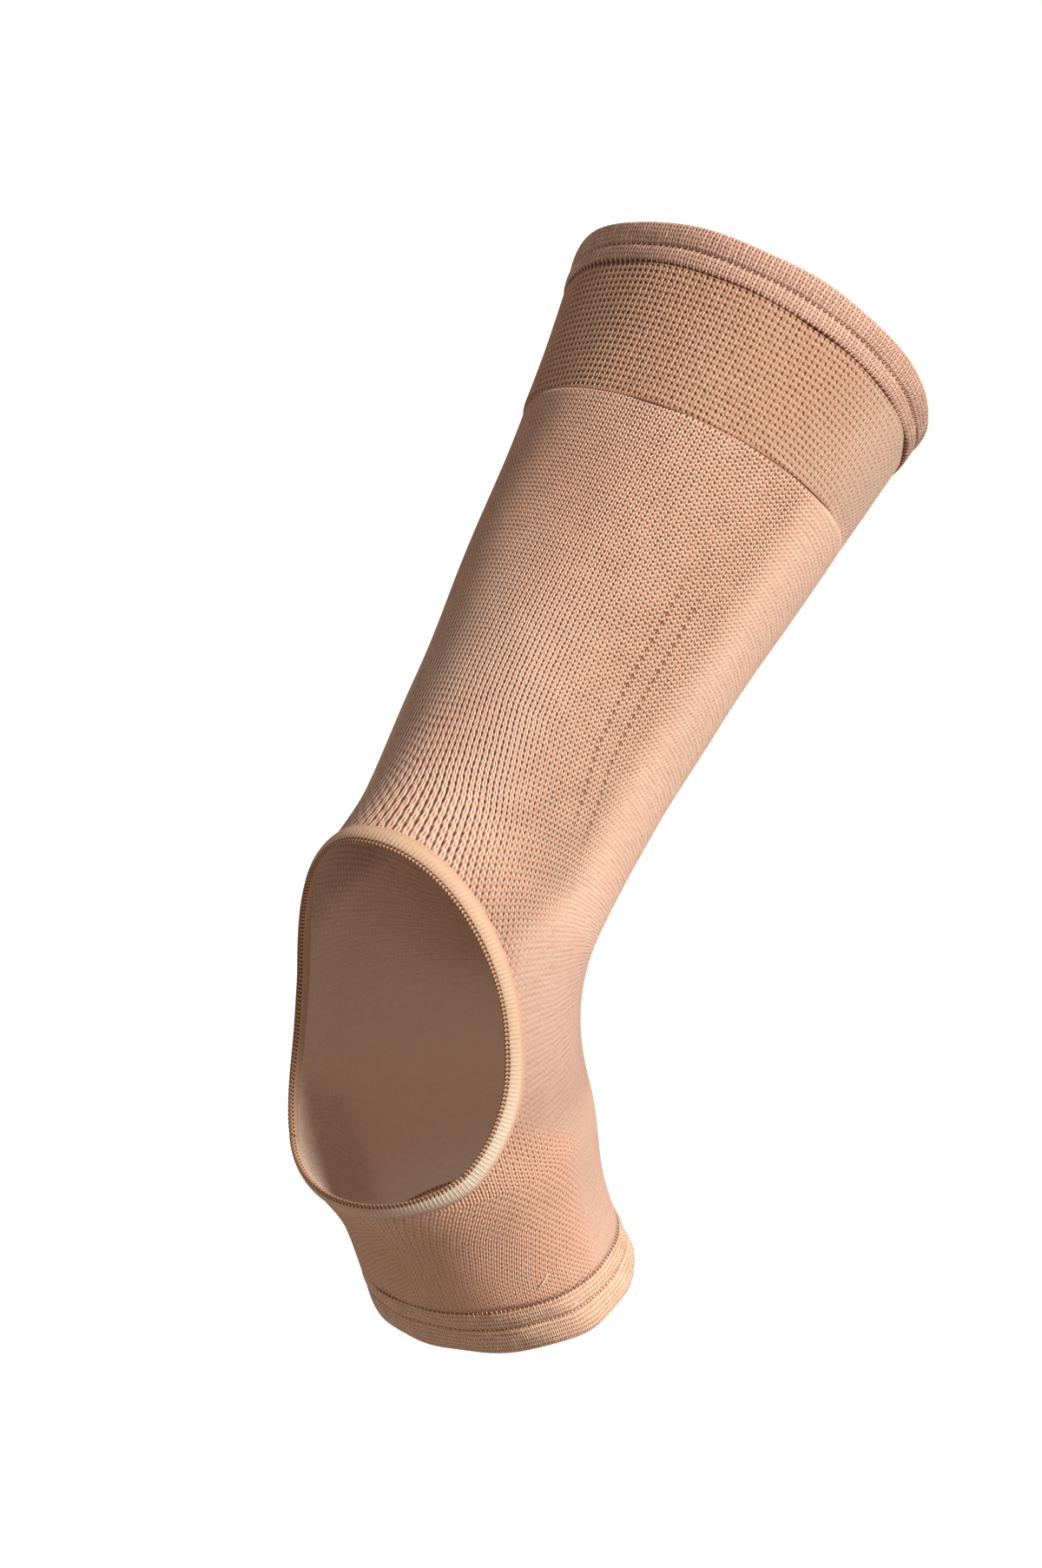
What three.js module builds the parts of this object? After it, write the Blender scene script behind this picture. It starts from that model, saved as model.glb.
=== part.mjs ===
import * as THREE from "three";

// An open-heel ankle brace: an elastic knitted tube, in the form that it takes when it is worn.
// It runs from mid calf to the instep, bends at the ankle and has a bound opening at the heel.
// Sizes are in millimetres. +Z is up, +X points to the toes, and the tube is the same on both
// sides of the XZ plane. The origin is on the tube's middle line, half way round the ankle bend.

// Pose of the worn tube
const leg_lean = THREE.MathUtils.degToRad(42);
const foot_pitch = THREE.MathUtils.degToRad(71);
const ankle_bend_radius = 70;

// Lengths along the middle line, hems included
const leg_length = 182;
const foot_length = 61;

// Half sizes that the section tables follow, front to back
const calf_half_depth = 58;
const heel_half_depth = 50;
const foot_half_depth = 35;

// Bands and hems, measured along the tube
const top_hem_height = 13;
const cuff_band_height = 37;
const cuff_band_slant = 4.5;
const foot_hem_height = 15;
const foot_hem_slant = 2;

// Thicknesses
const knit_wall = 1.4;
const hem_thickness = 2.6;
const binding_width = 4.8;
const binding_thickness = 2.4;

// Space left between a piece and its neighbour
const piece_gap = 0.3;

// Heel opening: its middle lies this far below the origin along the middle line, its half
// height runs along the tube and its half width is an angle around the tube
const heel_opening_drop = 9;
const heel_opening_half_height = 35;
const heel_opening_half_width = THREE.MathUtils.degToRad(77);
const heel_opening_squareness = 2.3;

// Sections of the leg, from the ankle bend up: place as a share of leg_length, and the tube's
// half sizes as shares of calf_half_depth
const leg_sections = [
  { along: 0.0, front: 0.76, back: 0.72, side: 0.6 },
  { along: 0.2, front: 0.76, back: 0.78, side: 0.62 },
  { along: 0.4, front: 0.8, back: 0.82, side: 0.7 },
  { along: 0.6, front: 0.87, back: 0.84, side: 0.79 },
  { along: 0.8, front: 0.94, back: 0.89, side: 0.88 },
  { along: 1.0, front: 1.01, back: 0.98, side: 0.97 },
];

// Section at the middle of the ankle bend, in shares of heel_half_depth
const ankle_section = { front: 0.75, back: 1.23, side: 0.8 };

// Sections of the foot, from the ankle bend down: place as a share of foot_length, and the
// half sizes as shares of foot_half_depth
const foot_sections = [
  { along: 0.0, front: 1.06, back: 1.38, side: 1.22 },
  { along: 0.5, front: 1.0, back: 0.99, side: 1.14 },
  { along: 1.0, front: 1.13, back: 0.81, side: 1.19 },
];

// Section of a folded hem: up is a share of the hem's height from its joined edge, and out is
// a share of its thickness from its inner face. A stitched groove parts its two soft rolls.
const hem_outline = [
  { up: 0.0, out: 0.45 },
  { up: 0.05, out: 0.78 },
  { up: 0.2, out: 0.92 },
  { up: 0.36, out: 0.84 },
  { up: 0.43, out: 0.62 },
  { up: 0.5, out: 0.86 },
  { up: 0.7, out: 1.0 },
  { up: 0.88, out: 0.94 },
  { up: 0.97, out: 0.72 },
  { up: 1.0, out: 0.42 },
  { up: 0.97, out: 0.12 },
  { up: 0.88, out: 0.0 },
  { up: 0.0, out: 0.0 },
];

// Fineness of the faceted walls
const columns = 40;
const band_rows = 5;
const leg_rows = 9;
const heel_rows = 28;
const foot_rows = 4;
const binding_sides = 8;

// The bend turns the tube from the leg's heading to the foot's
const bend_turn = Math.PI / 2 + leg_lean - foot_pitch;
const bend_half = (ankle_bend_radius * bend_turn) / 2;
const bend_middle_heading = 1.5 * Math.PI - leg_lean + bend_turn / 2;
const top_edge = bend_half + leg_length;
const toe_edge = -bend_half - foot_length;

// Middle line at a distance s above the origin: a point, the way up the leg and the way front
function middle_line(s) {
  const in_bend = THREE.MathUtils.clamp(s, -bend_half, bend_half);
  const heading = bend_middle_heading - in_bend / ankle_bend_radius;
  const up = { x: -Math.cos(heading), z: -Math.sin(heading) };
  const front = { x: up.z, z: -up.x };
  const centre_x = -Math.sin(bend_middle_heading) * ankle_bend_radius;
  const centre_z = Math.cos(bend_middle_heading) * ankle_bend_radius;
  const x = centre_x - front.x * ankle_bend_radius + up.x * (s - in_bend);
  const z = centre_z - front.z * ankle_bend_radius + up.z * (s - in_bend);
  return { x, z, up, front };
}

// One section placed on the middle line, with its half sizes in millimetres
function placed_section(s, row, half_depth) {
  return {
    s,
    front: row.front * half_depth,
    back: row.back * half_depth,
    side: row.side * half_depth,
  };
}

const foot_stations = foot_sections
  .map((row) => placed_section(-bend_half - row.along * foot_length, row, foot_half_depth))
  .reverse();
const ankle_station = placed_section(0, ankle_section, heel_half_depth);
const leg_stations = leg_sections.map((row) =>
  placed_section(bend_half + row.along * leg_length, row, calf_half_depth)
);
const stations = [...foot_stations, ankle_station, ...leg_stations];

function chord_slope(index, column) {
  const from = stations[index];
  const to = stations[index + 1];
  return (to[column] - from[column]) / (to.s - from.s);
}

// Slope of a half size at one station, level where the size turns over there
function station_slope(index, column) {
  if (index === 0) return chord_slope(0, column);
  if (index === stations.length - 1) return chord_slope(index - 1, column);
  const below = chord_slope(index - 1, column);
  const above = chord_slope(index, column);
  if (below * above <= 0) return 0;
  return (2 * below * above) / (below + above);
}

// Half size of the tube at s, on a smooth curve through the stations
function half_size(s, column) {
  let index = 0;
  while (index < stations.length - 2 && s > stations[index + 1].s) index += 1;
  const from = stations[index];
  const to = stations[index + 1];
  const span = to.s - from.s;
  const t = THREE.MathUtils.clamp((s - from.s) / span, 0, 1);
  const start = from[column] * (1 + 2 * t) * (1 - t) ** 2;
  const end = to[column] * (3 - 2 * t) * t ** 2;
  const leaving = station_slope(index, column) * span * t * (1 - t) ** 2;
  const arriving = station_slope(index + 1, column) * span * (t - 1) * t ** 2;
  return start + end + leaving + arriving;
}

// A point on the tube: angle 0 is the shin and instep, a half turn is the calf and sole, and
// inset is the depth below the knit's outer face
function tube_point(s, angle, inset) {
  const line = middle_line(s);
  const forward = Math.cos(angle);
  const depth = half_size(s, forward > 0 ? "front" : "back") - inset;
  const side = half_size(s, "side") - inset;
  return new THREE.Vector3(
    line.x + line.front.x * depth * forward,
    -side * Math.sin(angle),
    line.z + line.front.z * depth * forward
  );
}

// Edges that the bands share, each slanting a little from front to back
function top_hem_lower_edge() {
  return top_edge - top_hem_height;
}

function cuff_band_lower_edge(angle) {
  return top_hem_lower_edge() - cuff_band_height + cuff_band_slant * Math.cos(angle);
}

function foot_hem_upper_edge(angle) {
  return toe_edge + foot_hem_height + foot_hem_slant * Math.cos(angle);
}

// The rounded outline of the heel opening, at a turn t around it from its top: s along the
// tube and the angle around the tube
function heel_outline(t) {
  const across = Math.sin(t);
  const along = Math.cos(t);
  const power = heel_opening_squareness;
  const reach = (Math.abs(across) ** power + Math.abs(along) ** power) ** (-1 / power);
  return {
    s: heel_opening_half_height * reach * along - heel_opening_drop,
    angle: Math.PI - heel_opening_half_width * reach * across,
  };
}

function piece(name, points, faces, look) {
  const geometry = new THREE.BufferGeometry().setFromPoints(points);
  geometry.setIndex(faces);
  geometry.computeVertexNormals();
  const mesh = new THREE.Mesh(geometry, look);
  mesh.name = name;
  return mesh;
}

function add_quad(faces, a, b, c, d) {
  faces.push(a, b, c, a, c, d);
}

// A closed ring: a closed outline of points carried round the tube. place(corner, angle) gives
// s and inset for one corner of the outline.
function ring_piece(name, outline, place, look) {
  const points = [];
  const faces = [];
  const count = outline.length;
  for (const corner of outline) {
    for (let column = 0; column < columns; column += 1) {
      const angle = (2 * Math.PI * column) / columns;
      const { s, inset } = place(corner, angle);
      points.push(tube_point(s, angle, inset));
    }
  }
  for (let row = 0; row < count; row += 1) {
    const above = (row + 1) % count;
    for (let column = 0; column < columns; column += 1) {
      const next = (column + 1) % columns;
      add_quad(
        faces,
        row * columns + column,
        above * columns + column,
        above * columns + next,
        row * columns + next
      );
    }
  }
  return piece(name, points, faces, look);
}

function hem_inset(corner) {
  return knit_wall - corner.out * hem_thickness;
}

function make_top_hem(look) {
  const place = (corner) => ({
    s: top_hem_lower_edge() + corner.up * top_hem_height,
    inset: hem_inset(corner),
  });
  return ring_piece("top_hem", hem_outline, place, look);
}

function make_foot_hem(look) {
  const place = (corner, angle) => ({
    s: foot_hem_upper_edge(angle) - corner.up * foot_hem_height,
    inset: hem_inset(corner),
  });
  return ring_piece("foot_hem", [...hem_outline].reverse(), place, look);
}

function make_cuff_band(look) {
  const outer = [];
  for (let row = 0; row <= band_rows; row += 1) {
    outer.push({ up: row / band_rows, inset: 0 });
  }
  const inner = outer.map((corner) => ({ up: corner.up, inset: knit_wall })).reverse();
  const place = (corner, angle) => {
    const low = cuff_band_lower_edge(angle);
    const high = top_hem_lower_edge() - piece_gap;
    return { s: low + corner.up * (high - low), inset: corner.inset };
  };
  return ring_piece("cuff_band", [...outer, ...inner], place, look);
}

// Rows of the main knit from the foot hem up. A row holds its s as a function of the angle,
// and the angle that it reaches on each side. The rows beside the heel are evenly spaced at
// the front and stop at the opening's rim.
function knit_rows() {
  const rows = [];
  const opening_low = heel_outline(Math.PI).s;
  const opening_high = heel_outline(0).s;
  for (let row = 0; row < foot_rows; row += 1) {
    const share = row / foot_rows;
    const low = (angle) => foot_hem_upper_edge(angle) + piece_gap;
    rows.push({ reach: Math.PI, s: (angle) => low(angle) * (1 - share) + opening_low * share });
  }
  for (let row = 0; row <= heel_rows; row += 1) {
    const share = row / heel_rows;
    const outline = heel_outline(Math.PI * (1 - share));
    const reach = row > 0 && row < heel_rows ? outline.angle : Math.PI;
    const front_s = opening_low * (1 - share) + opening_high * share;
    const s = (angle) => {
      const toward_rim = (angle / reach) ** 2;
      return front_s * (1 - toward_rim) + outline.s * toward_rim;
    };
    rows.push({ reach, s, beside_heel: true });
  }
  for (let row = 1; row <= leg_rows; row += 1) {
    const share = row / leg_rows;
    const high = (angle) => cuff_band_lower_edge(angle) - piece_gap;
    rows.push({ reach: Math.PI, s: (angle) => opening_high * (1 - share) + high(angle) * share });
  }
  return rows;
}

function make_knit_sleeve(look) {
  const rows = knit_rows();
  const width = columns + 1;
  const points = [];
  for (const inset of [0, knit_wall]) {
    for (const row of rows) {
      for (let column = 0; column < width; column += 1) {
        const angle = row.reach * ((2 * column) / columns - 1);
        points.push(tube_point(row.s(angle), angle, inset));
      }
    }
  }
  // A row that reaches all the way round ends where it began
  const point_at = (sheet, row, column) => {
    const closed = rows[row].reach === Math.PI && column === columns;
    return (sheet * rows.length + row) * width + (closed ? 0 : column);
  };
  const outer = (row, column) => point_at(0, row, column);
  const inner = (row, column) => point_at(1, row, column);
  const faces = [];
  for (let row = 0; row < rows.length - 1; row += 1) {
    const up = row + 1;
    for (let column = 0; column < columns; column += 1) {
      const next = column + 1;
      add_quad(faces, outer(row, column), outer(up, column), outer(up, next), outer(row, next));
      add_quad(faces, inner(row, column), inner(row, next), inner(up, next), inner(up, column));
    }
    if (rows[row].beside_heel && rows[up].beside_heel) {
      add_quad(faces, outer(up, 0), outer(row, 0), inner(row, 0), inner(up, 0));
      add_quad(
        faces,
        outer(row, columns),
        outer(up, columns),
        inner(up, columns),
        inner(row, columns)
      );
    }
  }
  const last = rows.length - 1;
  for (let column = 0; column < columns; column += 1) {
    const next = column + 1;
    add_quad(faces, inner(0, column), outer(0, column), outer(0, next), inner(0, next));
    add_quad(faces, outer(last, column), inner(last, column), inner(last, next), outer(last, next));
  }
  return piece("knit_sleeve", points, faces, look);
}

// The rim of the heel opening at turn t: a point half way through the wall, the way into the
// opening and the way out of the tube
function heel_rim(t) {
  const step = 0.001;
  const rim_point = (turn, inset) => {
    const outline = heel_outline(turn);
    return tube_point(outline.s, outline.angle, inset);
  };
  const point = rim_point(t, knit_wall / 2);
  const along = rim_point(t + step, knit_wall / 2).sub(rim_point(t - step, knit_wall / 2));
  const outline = heel_outline(t);
  const up = tube_point(outline.s + step, outline.angle, 0).sub(
    tube_point(outline.s - step, outline.angle, 0)
  );
  const round = tube_point(outline.s, outline.angle + step, 0).sub(
    tube_point(outline.s, outline.angle - step, 0)
  );
  const out = up.cross(round).normalize();
  const inward = along.normalize().cross(out).normalize();
  return { point, inward, out };
}

// The soft binding sewn round the heel opening, an oval roll beside the knit's cut edge
function make_heel_binding(look) {
  const points = [];
  const faces = [];
  const steps = 2 * heel_rows;
  const middle = piece_gap + binding_width / 2;
  for (let step = 0; step < steps; step += 1) {
    const rim = heel_rim((2 * Math.PI * step) / steps);
    for (let side = 0; side < binding_sides; side += 1) {
      const turn = (2 * Math.PI * side) / binding_sides;
      const across = middle + (binding_width / 2) * Math.cos(turn);
      const rise = (binding_thickness / 2) * Math.sin(turn);
      points.push(
        rim.point.clone().addScaledVector(rim.inward, across).addScaledVector(rim.out, rise)
      );
    }
  }
  for (let step = 0; step < steps; step += 1) {
    const ahead = (step + 1) % steps;
    for (let side = 0; side < binding_sides; side += 1) {
      const next = (side + 1) % binding_sides;
      add_quad(
        faces,
        step * binding_sides + side,
        ahead * binding_sides + side,
        ahead * binding_sides + next,
        step * binding_sides + next
      );
    }
  }
  return piece("heel_binding", points, faces, look);
}

function cloth_look(color) {
  return new THREE.MeshStandardMaterial({ color, roughness: 0.9, metalness: 0 });
}

const ankle_brace = new THREE.Group();
ankle_brace.name = "ankle_brace";
ankle_brace.add(make_top_hem(cloth_look(0xe6bfa3)));
ankle_brace.add(make_cuff_band(cloth_look(0xdfb48f)));
ankle_brace.add(make_knit_sleeve(cloth_look(0xdcae94)));
ankle_brace.add(make_heel_binding(cloth_look(0xecd2b4)));
ankle_brace.add(make_foot_hem(cloth_look(0xe3b89c)));

export default ankle_brace;
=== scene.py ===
# An open-heel ankle brace of elastic knit, in the form that it takes when it is worn.
# Lengths are in metres in the frame's own axes: +Z is up, +X points to the toes, and the
# origin is on the tube's middle line, half way round the ankle bend.
import bpy
import math
import numpy as np
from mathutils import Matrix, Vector


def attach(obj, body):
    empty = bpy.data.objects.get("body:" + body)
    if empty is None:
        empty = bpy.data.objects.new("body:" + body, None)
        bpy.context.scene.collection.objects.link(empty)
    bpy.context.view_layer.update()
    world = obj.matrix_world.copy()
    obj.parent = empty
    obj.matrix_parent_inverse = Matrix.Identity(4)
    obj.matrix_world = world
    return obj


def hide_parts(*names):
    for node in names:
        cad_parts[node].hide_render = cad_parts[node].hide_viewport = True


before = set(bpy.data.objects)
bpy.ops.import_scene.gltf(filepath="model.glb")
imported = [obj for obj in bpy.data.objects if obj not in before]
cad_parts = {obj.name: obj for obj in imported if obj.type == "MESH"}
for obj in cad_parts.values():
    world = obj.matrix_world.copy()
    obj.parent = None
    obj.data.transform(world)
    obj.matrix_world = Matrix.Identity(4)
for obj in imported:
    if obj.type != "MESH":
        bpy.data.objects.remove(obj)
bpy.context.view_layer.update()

MM = 0.001
TURN = 2 * math.pi

# Pose and lengths of the worn tube
LEG_LEAN = math.radians(42)
FOOT_PITCH = math.radians(71)
BEND_RADIUS = 70 * MM
LEG_LENGTH = 182 * MM
FOOT_LENGTH = 61 * MM
CALF_HALF_DEPTH = 58 * MM
HEEL_HALF_DEPTH = 50 * MM
FOOT_HALF_DEPTH = 35 * MM

# Bands and hems, measured along the tube
TOP_HEM_HEIGHT = 13 * MM
CUFF_BAND_HEIGHT = 37 * MM
CUFF_BAND_SLANT = 4.5 * MM
FOOT_HEM_HEIGHT = 15 * MM
FOOT_HEM_SLANT = 2 * MM

# Thicknesses
KNIT_WALL = 1.4 * MM
HEM_THICKNESS = 2.6 * MM

# Heel opening
OPENING_DROP = 9 * MM
OPENING_HALF_HEIGHT = 35 * MM
OPENING_HALF_ANGLE = math.radians(77)
OPENING_SQUARENESS = 2.3

# Sections of the tube: place along the straight part as a share of its length, then the
# front, back and side half sizes as shares of the half depth that they follow
LEG_SECTIONS = (
    (0.0, 0.76, 0.72, 0.60),
    (0.2, 0.76, 0.78, 0.62),
    (0.4, 0.80, 0.82, 0.70),
    (0.6, 0.87, 0.84, 0.79),
    (0.8, 0.94, 0.89, 0.88),
    (1.0, 1.01, 0.98, 0.97),
)
ANKLE_SECTION = (0.75, 1.23, 0.80)
FOOT_SECTIONS = (
    (0.0, 1.06, 1.38, 1.22),
    (0.5, 1.00, 0.99, 1.14),
    (1.0, 1.13, 0.81, 1.19),
)

# Stitches: how many columns of loops go round the tube, the height of one row of loops, and
# how many stitches go round the heel opening
WALES = 170
SLEEVE_COURSE = 1.45 * MM
BAND_COURSE = 1.95 * MM
HEM_COURSE = 1.4 * MM
BINDING_STITCHES = 250

# Mesh steps: columns of faces to a column of loops or to a stitch, then rows along the tube. The
# main knit's inner face keeps one row in INNER_ROW_STEP away from the heel opening.
HEM_STEPS = 8
BAND_STEPS = 4
SLEEVE_STEPS = 2
BINDING_STEPS = 4
BAND_ROWS = 96
BAND_INNER_ROWS = 5
FOOT_ROWS = 22
HEEL_ROWS = 72
LEG_ROWS = 96
INNER_ROW_STEP = 8

# Relief of the stitches, and height of the cloth's soft waves
HEM_FINE_RIB = 0.07 * MM
HEM_RIB = 0.04 * MM
HEM_WAVE = 0.14 * MM
HEM_EDGE_WAVE = 0.25 * MM
BAND_RELIEF = 0.4 * MM
BAND_WAVE = 0.2 * MM
SLEEVE_RELIEF = 0.04 * MM
TENDON_RELIEF = 0.07 * MM
SLEEVE_WAVE = 0.22 * MM
TAPE_RIB = 0.07 * MM
TAPE_WAVE = 0.1 * MM

BEND_TURN = math.pi / 2 + LEG_LEAN - FOOT_PITCH
BEND_HALF = BEND_RADIUS * BEND_TURN / 2
MIDDLE_HEADING = 1.5 * math.pi - LEG_LEAN + BEND_TURN / 2
TOP_EDGE = BEND_HALF + LEG_LENGTH
TOE_EDGE = -BEND_HALF - FOOT_LENGTH

# Camera: it looks at the brace from behind and a little above, on the outer side of the leg
CAMERA_AZIMUTH = math.radians(-50)
CAMERA_ELEVATION = math.radians(12)
CAMERA_DISTANCE = 1.5
AIM_RIGHT = 21.5 * MM
AIM_UP = 56 * MM
CAMERA_NEAR = 0.05
CAMERA_FAR = 200
LENS = 81.8
SENSOR = 24

# Key light: the way toward it, as shares to the camera's right, back to the camera and up, then
# its strength and its width in degrees. The sky fills the shadows with a warm tint.
KEY_RIGHT = 0.67
KEY_BACK = 0.47
KEY_UP = 0.44
KEY_STRENGTH = 3.8
KEY_WIDTH = 20
KEY_COLOUR = (1.0, 0.99, 0.975)
SKY_COLOUR = (1.0, 0.9, 0.82, 1.0)
SKY_STRENGTH = 0.3

# Floor: a wide pale square that glows a little
FLOOR_HEIGHT = -0.32
FLOOR_HALF = 80.0
FLOOR_GREY = 0.93
FLOOR_GLOW = 0.32


# Camera and stage

def view_directions():
    """The camera's right, the way from the brace back to the camera, and the camera's up."""
    right = Vector((math.cos(CAMERA_AZIMUTH), math.sin(CAMERA_AZIMUTH), 0))
    flat = math.cos(CAMERA_ELEVATION)
    back = Vector((
        math.sin(CAMERA_AZIMUTH) * flat,
        -math.cos(CAMERA_AZIMUTH) * flat,
        math.sin(CAMERA_ELEVATION),
    ))
    return right, back, back.cross(right)


def make_camera():
    right, back, up = view_directions()
    data = bpy.data.cameras.new("camera")
    data.sensor_fit = "VERTICAL"
    data.sensor_height = SENSOR
    data.lens = LENS
    data.clip_start = CAMERA_NEAR
    data.clip_end = CAMERA_FAR
    camera = bpy.data.objects.new("camera", data)
    aim = right * AIM_RIGHT + up * AIM_UP
    camera.location = aim + back * CAMERA_DISTANCE
    camera.rotation_mode = "QUATERNION"
    camera.rotation_quaternion = (-back).to_track_quat("-Z", "Y")
    bpy.context.scene.collection.objects.link(camera)
    bpy.context.scene.camera = camera


def make_lights():
    right, back, _ = view_directions()
    data = bpy.data.lights.new("key_light", "SUN")
    data.energy = KEY_STRENGTH
    data.angle = math.radians(KEY_WIDTH)
    data.color = KEY_COLOUR
    sun = bpy.data.objects.new("key_light", data)
    toward = right * KEY_RIGHT + back * KEY_BACK + Vector((0, 0, KEY_UP))
    sun.rotation_mode = "QUATERNION"
    sun.rotation_quaternion = toward.to_track_quat("Z", "Y")
    bpy.context.scene.collection.objects.link(sun)
    world = bpy.data.worlds.new("studio")
    bpy.context.scene.world = world
    world.use_nodes = True
    background = world.node_tree.nodes["Background"]
    background.inputs["Color"].default_value = SKY_COLOUR
    background.inputs["Strength"].default_value = SKY_STRENGTH
    bpy.context.scene.view_settings.view_transform = "Standard"


def make_floor():
    signs = [(-1, -1), (1, -1), (1, 1), (-1, 1)]
    corners = [(x * FLOOR_HALF, y * FLOOR_HALF, FLOOR_HEIGHT) for x, y in signs]
    mesh = bpy.data.meshes.new("floor")
    mesh.from_pydata(corners, [], [(0, 1, 2, 3)])
    floor = bpy.data.objects.new("floor", mesh)
    bpy.context.scene.collection.objects.link(floor)
    material = bpy.data.materials.new("pale_floor")
    material.use_nodes = True
    shader = material.node_tree.nodes["Principled BSDF"]
    shader.inputs["Base Color"].default_value = (FLOOR_GREY, FLOOR_GREY, FLOOR_GREY, 1)
    shader.inputs["Roughness"].default_value = 0.9
    shader.inputs["Specular IOR Level"].default_value = 0.1
    shader.inputs["Emission Color"].default_value = (1, 1, 1, 1)
    shader.inputs["Emission Strength"].default_value = FLOOR_GLOW
    mesh.materials.append(material)
    floor.visible_diffuse = False


# The tube's surface

def placed_sections(rows, start, length, half_depth):
    """Stations of a stretch of the tube: s, then the front, back and side half sizes."""
    return [(start + length * place, *(share * half_depth for share in shares))
            for place, *shares in rows]


def make_stations():
    foot = placed_sections(FOOT_SECTIONS, -BEND_HALF, -FOOT_LENGTH, FOOT_HALF_DEPTH)
    ankle = placed_sections([(0.0, *ANKLE_SECTION)], 0.0, 0.0, HEEL_HALF_DEPTH)
    leg = placed_sections(LEG_SECTIONS, BEND_HALF, LEG_LENGTH, CALF_HALF_DEPTH)
    return np.array(foot[::-1] + ankle + leg)


STATIONS = make_stations()
FRONT, BACK, SIDE = 1, 2, 3


def smooth_slopes(places, sizes):
    """Slope at each station, level where the size turns over."""
    chords = np.diff(sizes) / np.diff(places)
    below = chords[:-1]
    above = chords[1:]
    both = np.where(np.abs(below + above) < 1e-12, 1.0, below + above)
    inner = np.where(below * above > 0, 2 * below * above / both, 0.0)
    return np.concatenate(([chords[0]], inner, [chords[-1]]))


def half_size(s, column):
    """The tube's front, back or side half size at s, on a smooth curve through the stations."""
    places = STATIONS[:, 0]
    sizes = STATIONS[:, column]
    slopes = smooth_slopes(places, sizes)
    index = np.clip(np.searchsorted(places, s, side="left") - 1, 0, len(places) - 2)
    span = places[index + 1] - places[index]
    t = np.clip((s - places[index]) / span, 0, 1)
    start = sizes[index] * (1 + 2 * t) * (1 - t) ** 2
    end = sizes[index + 1] * (3 - 2 * t) * t ** 2
    leaving = slopes[index] * span * t * (1 - t) ** 2
    arriving = slopes[index + 1] * span * (t - 1) * t ** 2
    return start + end + leaving + arriving


def tube_points(s, angle, inset=0.0):
    """Points on the tube. Angle 0 is the shin and instep, a half turn is the calf and sole,
    and inset is the depth below the knit's outer face."""
    s, angle, inset = np.broadcast_arrays(s, angle, inset)
    in_bend = np.clip(s, -BEND_HALF, BEND_HALF)
    heading = MIDDLE_HEADING - in_bend / BEND_RADIUS
    up_x = -np.cos(heading)
    up_z = -np.sin(heading)
    x = -math.sin(MIDDLE_HEADING) * BEND_RADIUS - up_z * BEND_RADIUS + up_x * (s - in_bend)
    z = math.cos(MIDDLE_HEADING) * BEND_RADIUS + up_x * BEND_RADIUS + up_z * (s - in_bend)
    forward = np.cos(angle)
    depth = np.where(forward > 0, half_size(s, FRONT), half_size(s, BACK)) - inset
    side = half_size(s, SIDE) - inset
    points = [x + up_z * depth * forward, -side * np.sin(angle), z - up_x * depth * forward]
    return np.stack(points, axis=-1)


def top_hem_lower_edge(angle):
    return TOP_EDGE - TOP_HEM_HEIGHT + 0 * angle


def cuff_band_lower_edge(angle):
    return top_hem_lower_edge(angle) - CUFF_BAND_HEIGHT + CUFF_BAND_SLANT * np.cos(angle)


def foot_hem_upper_edge(angle):
    return TOE_EDGE + FOOT_HEM_HEIGHT + FOOT_HEM_SLANT * np.cos(angle)


def heel_outline(t):
    """The heel opening's rim at a turn t from its top: s along the tube, and the angle."""
    across = np.sin(t)
    along = np.cos(t)
    power = OPENING_SQUARENESS
    reach = (np.abs(across) ** power + np.abs(along) ** power) ** (-1 / power)
    s = OPENING_HALF_HEIGHT * reach * along - OPENING_DROP
    return s, math.pi - OPENING_HALF_ANGLE * reach * across


def smooth_step(value, low, high):
    t = np.clip((value - low) / (high - low), 0, 1)
    return t * t * (3 - 2 * t)


# Meshes

def quad_grid(rows, width, first=0, close_rows=False, flip=False):
    """Corners of the quads of a grid of points, as indices into rows * width corners."""
    count = rows if close_rows else rows - 1
    row, column = np.meshgrid(np.arange(count), np.arange(width - 1), indexing="ij")
    above = (row + 1) % rows
    order = [row * width + column, row * width + column + 1,
             above * width + column + 1, above * width + column]
    if flip:
        order = order[::-1]
    return first + np.stack(order, axis=-1).reshape(-1, 4)


def make_piece(name, corners, maps, quads, vertex_of, attributes, material, node):
    """A smooth mesh. corners are grid points, which vertex_of merges into the vertices;
    maps holds each corner's place in the knit's pattern."""
    kept, merged = np.unique(vertex_of, return_inverse=True)
    points = corners[kept]
    mesh = bpy.data.meshes.new(name)
    mesh.vertices.add(len(points))
    mesh.vertices.foreach_set("co", points.astype(np.float32).ravel())
    loops = quads.ravel()
    mesh.loops.add(len(loops))
    mesh.loops.foreach_set("vertex_index", merged[loops].astype(np.int32))
    mesh.polygons.add(len(quads))
    mesh.polygons.foreach_set("loop_start", np.arange(0, len(loops), 4, dtype=np.int32))
    mesh.polygons.foreach_set("use_smooth", np.ones(len(quads), dtype=bool))
    layer = mesh.uv_layers.new(name="knit_map")
    layer.data.foreach_set("uv", maps[loops].astype(np.float32).ravel())
    for label, values in attributes.items():
        attribute = mesh.attributes.new(label, "FLOAT", "POINT")
        attribute.data.foreach_set("value", values[kept].astype(np.float32))
    mesh.update(calc_edges=True)
    mesh.validate()
    mesh.materials.append(material)
    piece = bpy.data.objects.new(name, mesh)
    bpy.context.scene.collection.objects.link(piece)
    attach(piece, "root")
    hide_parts(node)
    return piece


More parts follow.
